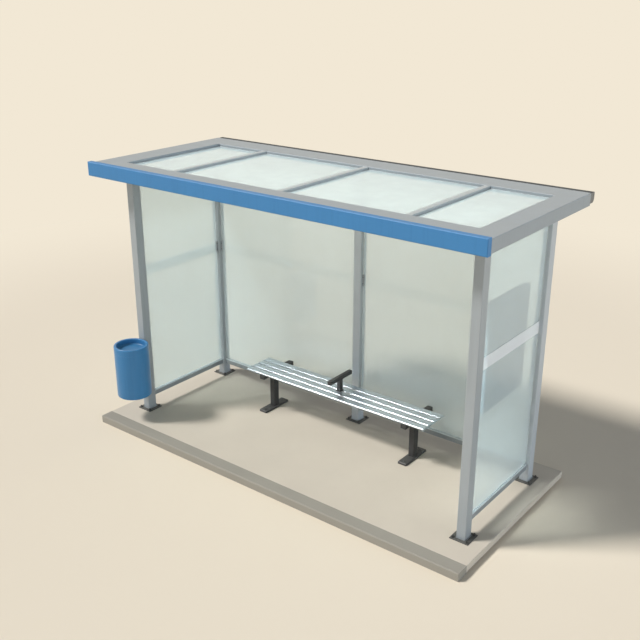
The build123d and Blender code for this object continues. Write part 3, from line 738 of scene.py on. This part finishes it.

# The seal's pale colour is a painted highlight that stands in for the glint along the rails' top
# edges.
seal, seal_tree, seal_shader = start_material("seal_painted_highlight", Roughness=0.28)
seal_tone = use_group(
    seal_tree,
    cloud_group,
    Colour=(0.56, 0.62, 0.64, 1),
    Cloud_Size=0.2,
    Cloud_Depth=0.03,
    Grain_Size=0.003,
    Grain_Depth=0.03,
)
feed(seal_tree, seal_shader.inputs["Base Color"], seal_tone["Colour"])
seal_relief = relief(seal_tree, 0.1, 0.0005, seal_tone["Grain"])
feed(seal_tree, seal_shader.inputs["Normal"], seal_relief)


def bar(shape, low, high, bevel, segments=2):
    """Add a straight bar that fills a box, its edges rounded."""
    size = high - low
    stretch = Matrix.Translation((low + high) / 2) @ Matrix.Diagonal((size.x, size.y, size.z, 1))
    made = bmesh.ops.create_cube(shape, size=1, matrix=stretch)["verts"]
    edges = {edge for vert in made for edge in vert.link_edges}
    bmesh.ops.bevel(
        shape,
        geom=list(edges),
        offset=bevel,
        segments=segments,
        profile=0.5,
        affect="EDGES",
        material=-1,
    )


seals = bmesh.new()
for bay in BAYS:
    low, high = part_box("wall_glass_" + bay)
    across, run = Vector((1, 0, 0)), Vector((0, 1, 0))
    if bay.startswith("rear"):
        across, run = run, across
    bead_span = (low.z, low.z + BEAD_HIGH, BEAD_WIDE)
    strip_span = (high.z - STRIP_HIGH, high.z, STRIP_WIDE)
    for side in (-1, 1):
        face = high if side > 0 else low
        near = across * (face.dot(across) + side * STRIP_GAP)
        for foot, head, wide in (bead_span, strip_span):
            far = near + across * (side * wide)
            start = run * low.dot(run) + UP * foot + (near if side > 0 else far)
            end = run * high.dot(run) + UP * head + (far if side > 0 else near)
            bar(seals, start, end, STRIP_ROUND)
add_piece(seals, "glass_seals", seal)

# ================================ Wall glass ================================================
# Toughened glass with a slight green-grey tint in the four bays. A frosted strip of film runs
# along each pane at eye level, so that nobody walks into it.
wall_glass = glass(
    "wall_glass", (0.872, 0.965, 0.985, 1), (0.45, 0.475, 0.48, 1), 0.66, 0.8, 0.010, 0.0
)
dress(wall_glass, *["wall_glass_" + bay for bay in BAYS])


def frosted_film(name, cover):
    """Satin white film that hides as much of what is behind it as said."""
    material, tree, shader = start_material(name, Alpha=cover, Roughness=0.55)
    tone = use_group(
        tree,
        cloud_group,
        Colour=(0.90, 0.93, 0.94, 1),
        Cloud_Size=0.25,
        Cloud_Depth=0.01,
        Grain_Size=0.002,
        Grain_Depth=0.02,
    )
    feed(tree, shader.inputs["Base Color"], tone["Colour"])
    feed(tree, shader.inputs["Normal"], relief(tree, 0.1, 0.0003, tone["Grain"]))
    return material


FILM_GAP = 0.0001  # how far the film stays off the glass
FILM_THICK = 0.003
FILM_ROUND = 0.0003
band_low, band_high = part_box("safety_bands")
# Painted light: the same film takes a thicker cover on the right, standing in for the glow of the
# backlit film, and a thin one at the rear, so that the film in shade hardly shows.
for place, cover in (("left", 0.34), ("rear", 0.10), ("right", 0.58)):
    bands = bmesh.new()
    for bay in BAYS:
        if not bay.startswith(place):
            continue
        low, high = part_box("wall_glass_" + bay)
        low.z, high.z = band_low.z, band_high.z
        if place == "left":
            low.x, high.x = low.x - FILM_THICK, low.x - FILM_GAP
        elif place == "right":
            low.x, high.x = high.x + FILM_GAP, high.x + FILM_THICK
        else:
            low.y, high.y = high.y + FILM_GAP, high.y + FILM_THICK
        bar(bands, low, high, FILM_ROUND, 1)
    name = "band_film_" + place
    add_piece(bands, name, frosted_film(name, cover))
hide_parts("safety_bands")

# ================================ Glass clamps ==============================================
# Small cast blocks in the corners between the posts and the inner face of the glass, each held by
# two round-headed screws.
clamp_grey = paint("clamp_grey", (0.300, 0.320, 0.330, 1), 0.40, dust=0.05)
dress(clamp_grey, "glass_clamps")
SCREW_RADIUS = 0.0045
SCREW_HIGH = 0.0025
CLAMP_REACH = 0.016
CLAMP_DEEP = 0.014
CLAMP_HALF_HIGH = 0.025
CLAMP_GAP = 0.001  # between the clamp and the glass's end
INWARD = {
    "left": Vector((1, 0, 0)),
    "right": Vector((-1, 0, 0)),
    "rear_left": Vector((0, -1, 0)),
    "rear_right": Vector((0, -1, 0)),
}


def round_screw(shape, place, way, radius, height):
    """Add a low round screw head with a socket for the key."""
    barrel(shape, place, way, radius, height, 16, height * 0.6, 3)
    shape.faces.ensure_lookup_table()
    crown = max(shape.faces[-80:], key=lambda face: (face.normal.dot(way) > 0.99, face.calc_area()))
    bmesh.ops.inset_region(shape, faces=[crown], thickness=radius * 0.22, use_even_offset=True)
    socket = bmesh.ops.extrude_discrete_faces(shape, faces=[crown])["faces"][0]
    bmesh.ops.translate(shape, verts=list(socket.verts), vec=way * (-height * 0.55))


clamp_low, clamp_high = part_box("glass_clamps")
clamp_screws = bmesh.new()
clamp_in = CLAMP_REACH / 2 - CLAMP_GAP
for bay in BAYS:
    low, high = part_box("wall_glass_" + bay)
    way = INWARD[bay]
    run = Vector((abs(way.y), abs(way.x), 0))
    inner = high if bay == "left" else low
    for height in (clamp_low.z + CLAMP_HALF_HIGH, clamp_high.z - CLAMP_HALF_HIGH):
        for along in (low.dot(run) + clamp_in, high.dot(run) - clamp_in):
            place = run * along + way * (inner.dot(way) + CLAMP_DEEP) + UP * height
            round_screw(clamp_screws, place, way, SCREW_RADIUS, SCREW_HIGH)
add_piece(clamp_screws, "clamp_screws", zinc)

# ================================ Notice case ===============================================
# A shallow aluminium case that hangs on the inner face of the right-hand glass, coated blue-grey.
# Its door hangs on two barrel hinges and has a round lock. The panel inside is blank. The case's
# top is painted darker, a painted shade.
case_grey = paint("case_grey", (0.240, 0.400, 0.510, 1), 0.50, dust=0.0, shine=0.12)
case_tree = case_grey.node_tree
case_shader = next(node for node in case_tree.nodes if node.type == "BSDF_PRINCIPLED")
# Painted shade: faces of the case that look up are darkened as if they lay in shade.
top_shade_mask = spread(case_tree, facing_up(case_tree), 0.5, 0.9)
case_coat = case_shader.inputs["Base Color"].links[0].from_socket
painted_top_shade = blend(case_tree, "MULTIPLY", top_shade_mask, case_coat, (0.40, 0.43, 0.44, 1))
feed(case_tree, case_shader.inputs["Base Color"], painted_top_shade)
dress(case_grey, "info_case")
sheet_blank = paint("sheet_blank", (0.600, 0.645, 0.665, 1), 0.55, dust=0.02, edge=0.0)
dress(sheet_blank, "info_sheet")

HINGE_RADIUS = 0.006
HINGE_LONG = 0.070
HINGE_FROM_END = 0.14
HINGE_IN = 0.008
HINGE_GAP = 0.0008
LOCK_IN = 0.012
LOCK_RADIUS = 0.009
LOCK_HIGH = 0.003
LOCK_BARREL_HIGH = 0.0015
case_low, case_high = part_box("info_case")
fittings = bmesh.new()
for height in (case_low.z + HINGE_FROM_END, case_high.z - HINGE_FROM_END - HINGE_LONG):
    knuckle = Vector((case_low.x + HINGE_IN, case_high.y + HINGE_RADIUS * 0.6, height))
    for step in range(3):
        top = barrel(fittings, knuckle, UP, HINGE_RADIUS, HINGE_LONG / 3 - HINGE_GAP, 16, 0.0008, 1)
        knuckle = top + UP * HINGE_GAP
lock_at = Vector((case_low.x, case_low.y + LOCK_IN, (case_low.z + case_high.z) / 2))
lock_top = barrel(fittings, lock_at, INWARD["right"], LOCK_RADIUS, LOCK_HIGH, 24, 0.001, 2)
barrel(fittings, lock_top, INWARD["right"], LOCK_RADIUS * 0.55, LOCK_BARREL_HIGH, 20, 0.0005, 1)
add_piece(fittings, "case_fittings", zinc)

# ================================ Bench seat ================================================
# Four rounded slats of anodised aluminium tube, drawn through a die so that fine lines run along
# them, joined at both ends by a flat strip and screwed down to the bearers.

# Fine lines that drawing leaves along X in bare metal.
line_group, line_in, line_out = start_group(
    "drawn_lines",
    [("Colour", "Color", GREY), ("Line Size", "Float", 0.002), ("Depth", "Float", 0.08)],
    [("Colour", "Color"), ("Line", "Float")],
)
line_place = put(
    line_group,
    "Mapping",
    values={"Vector": object_place(line_group), "Scale": (0.006, 1.0, 1.0)},
).outputs["Vector"]
line_fac = noise(line_group, line_place, line_in["Line Size"], 4.0)
line_wave = sum_of(line_group, "MULTIPLY_ADD", line_fac, 4.0, -2.0)
line_swing = sum_of(line_group, "MULTIPLY", line_wave, line_in["Depth"])
line_shade = sum_of(line_group, "ADD", line_swing, 1.0)
feed(
    line_group,
    line_out["Colour"],
    blend(line_group, "MULTIPLY", 1.0, line_in["Colour"], line_shade),
)
feed(line_group, line_out["Line"], line_fac)

slat_metal, slat_tree, slat_shader = start_material("slat_aluminium", Metallic=0.85)
slat_lines = use_group(
    slat_tree, line_group, Colour=(0.58, 0.65, 0.71, 1), Line_Size=0.0025, Depth=0.05
)
slat_tone = use_group(
    slat_tree,
    cloud_group,
    Colour=slat_lines["Colour"],
    Cloud_Size=0.2,
    Cloud_Depth=0.02,
    Grain_Size=0.003,
    Grain_Depth=0.01,
)
slat_edge = use_group(
    slat_tree,
    edge_group,
    Colour=slat_tone["Colour"],
    Edge_Colour=(0.80, 0.83, 0.84, 1),
    Amount=0.3,
    Radius=0.001,
)
feed(slat_tree, slat_shader.inputs["Base Color"], slat_edge["Colour"])
feed(
    slat_tree,
    slat_shader.inputs["Roughness"],
    spread(slat_tree, slat_lines["Line"], 0.3, 0.7, 0.24, 0.32),
)
slat_relief = relief(slat_tree, 0.05, 0.0003, slat_lines["Line"], slat_edge["Normal"])
feed(slat_tree, slat_shader.inputs["Normal"], slat_relief)
SLATS = ["bench_slat_1", "bench_slat_2", "bench_slat_3", "bench_slat_4"]
dress(slat_metal, "bench_end_strips", *SLATS)

BEARER_HALF = 0.028
SLAT_SCREW_RADIUS = 0.005
SLAT_SCREW_HIGH = 0.0016
bearer_low, bearer_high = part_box("bench_bearers")
slat_screws = bmesh.new()
for slat in SLATS:
    low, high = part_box(slat)
    for bearer_x in (bearer_low.x + BEARER_HALF, bearer_high.x - BEARER_HALF):
        place = Vector((bearer_x, (low.y + high.y) / 2, high.z))
        round_screw(slat_screws, place, UP, SLAT_SCREW_RADIUS, SLAT_SCREW_HIGH)
add_piece(slat_screws, "slat_screws", slat_metal)

# ================================ Bench legs ================================================
# Two square steel legs on long flat feet, with a bearer across the top of each, all coated
# charcoal. Low bolts hold the feet to the slab.
leg_paint = paint("leg_paint", (0.052, 0.053, 0.053, 1), 0.38, dust=0.05, edge=0.5)
dress(leg_paint, "bench_bearers", "bench_legs", "bench_feet", "armrest")

FOOT_HALF = 0.045
FOOT_BOLT_IN = 0.040
FOOT_BOLT_RADIUS = 0.0085
FOOT_BOLT_HIGH = 0.004
FOOT_WASHER_THICK = 0.0018
foot_low, foot_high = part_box("bench_feet")
foot_bolts = bmesh.new()
for foot_x in (foot_low.x + FOOT_HALF, foot_high.x - FOOT_HALF):
    for foot_y in (foot_low.y + FOOT_BOLT_IN, foot_high.y - FOOT_BOLT_IN):
        place = Vector((foot_x, foot_y, foot_high.z))
        seat = barrel(foot_bolts, place, UP, WASHER_RADIUS, FOOT_WASHER_THICK, 20, 0.0005, 1)
        round_screw(foot_bolts, seat, UP, FOOT_BOLT_RADIUS, FOOT_BOLT_HIGH)
add_piece(foot_bolts, "foot_bolts", zinc)

# ================================ Litter bin ================================================
# A drum of rolled steel sheet on the front left post, coated deep blue. Its rim is a separate
# rolled collar, and a recessed lid with a turned-up edge lies inside it.
bin_blue = paint("bin_blue", (0.043, 0.192, 0.398, 1), 0.34, dust=0.02, edge=0.3, coat=0.12)
lid_blue = paint("lid_blue", (0.042, 0.172, 0.345, 1), 0.36, dust=0.03, edge=0.3, coat=0.08)
dress(leg_paint, "bin_brackets")

SHELL_WALL = 0.003
FLOOR_BEVEL = 0.010
RIM_ROUND = 0.009
RIM_WIDTH = 0.026
RIM_LIP = 0.008
RIM_LIP_THICK = 0.005
SEAM = 0.0012
LID_CORNER = 0.010


def turned(points, centre, steps=96):
    """Spin a closed run of (radius, height) points that starts and ends on the axis."""
    shape = bmesh.new()
    verts = [shape.verts.new((radius, 0, height)) for radius, height in points]
    edges = [shape.edges.new(pair) for pair in zip(verts, verts[1:])]
    bmesh.ops.spin(
        shape,
        geom=verts + edges,
        cent=(0, 0, 0),
        axis=(0, 0, 1),
        angle=math.tau,
        steps=steps,
        use_merge=True,
    )
    bmesh.ops.remove_doubles(shape, verts=shape.verts, dist=1e-5)
    bmesh.ops.recalc_face_normals(shape, faces=shape.faces)
    bmesh.ops.translate(shape, verts=shape.verts, vec=(centre.x, centre.y, 0))
    return shape


def round_ring(shape, centre, radius, height, offset, segments):
    """Round over the ring of edges at one radius and height."""
    level = [vert for vert in shape.verts if abs(vert.co.z - height) < 1e-5]
    on_ring = {vert for vert in level if abs((vert.co - centre).xy.length - radius) < 1e-4}
    ring = [edge for edge in shape.edges if on_ring.issuperset(edge.verts)]
    bmesh.ops.bevel(
        shape, geom=ring, offset=offset, segments=segments, profile=0.5, affect="EDGES", material=-1
    )


shell_low, shell_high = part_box("bin_shell")
rim_low, rim_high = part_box("bin_rim")
drum = (shell_high.x - shell_low.x) / 2
bore = drum - RIM_WIDTH
centre = (shell_low + shell_high) / 2
bottom, joint, top = shell_low.z, rim_low.z, rim_high.z
bin_body = turned(
    [
        (0, bottom),
        (drum, bottom),
        (drum, joint - SEAM),
        (drum - SEAM, joint),
        (drum, joint + SEAM),
        (drum, top),
        (bore, top),
        (bore, joint + RIM_LIP_THICK),
        (bore - RIM_LIP, joint + RIM_LIP_THICK),
        (bore - RIM_LIP, joint),
        (drum - SHELL_WALL, joint),
        (drum - SHELL_WALL, bottom + FLOOR_BEVEL),
        (0, bottom + FLOOR_BEVEL),
    ],
    centre,
)
round_ring(bin_body, centre, drum, bottom, FLOOR_BEVEL * 0.95, 3)
round_ring(bin_body, centre, drum, top, RIM_ROUND, 6)
round_ring(bin_body, centre, bore, top, RIM_ROUND, 6)
bin_piece = add_piece(bin_body, "bin_body", bin_blue)
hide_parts("bin_shell", "bin_rim")

lid_low, lid_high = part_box("bin_lid")
lid_edge = (lid_high.x - lid_low.x) / 2
lid_body = turned(
    [
        (0, lid_low.z),
        (lid_edge, lid_low.z),
        (lid_edge, lid_high.z + LID_CORNER),
        (lid_edge - 0.002, lid_high.z + LID_CORNER),
        (lid_edge - 0.004, lid_high.z + LID_CORNER * 0.55),
        (lid_edge - 0.008, lid_high.z + LID_CORNER * 0.15),
        (lid_edge - 0.014, lid_high.z),
        (0, lid_high.z),
    ],
    centre,
)
lid_piece = add_piece(lid_body, "bin_lid_dish", lid_blue, 50)
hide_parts("bin_lid")

BRACKET_HALF_HIGH = 0.020
BRACKET_BOLT_IN = 0.012
BRACKET_WASHER_RADIUS = 0.008
BRACKET_WASHER_THICK = 0.0015
BRACKET_HEAD_FLATS = 0.013  # M8
BRACKET_HEAD_HIGH = 0.005
bracket_low, bracket_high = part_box("bin_brackets")
bracket_bolts = bmesh.new()
bracket_sides = ((bracket_low.x, Vector((-1, 0, 0))), (bracket_high.x, Vector((1, 0, 0))))
for height in (bracket_low.z + BRACKET_HALF_HIGH, bracket_high.z - BRACKET_HALF_HIGH):
    for face_x, way in bracket_sides:
        place = Vector((face_x, bracket_high.y - BRACKET_BOLT_IN, height))
        seat = barrel(
            bracket_bolts, place, way, BRACKET_WASHER_RADIUS, BRACKET_WASHER_THICK, 20, 0.0004, 1
        )
        hex_nut(bracket_bolts, seat, way, BRACKET_HEAD_FLATS, BRACKET_HEAD_HIGH)
add_piece(bracket_bolts, "bracket_bolts", zinc)
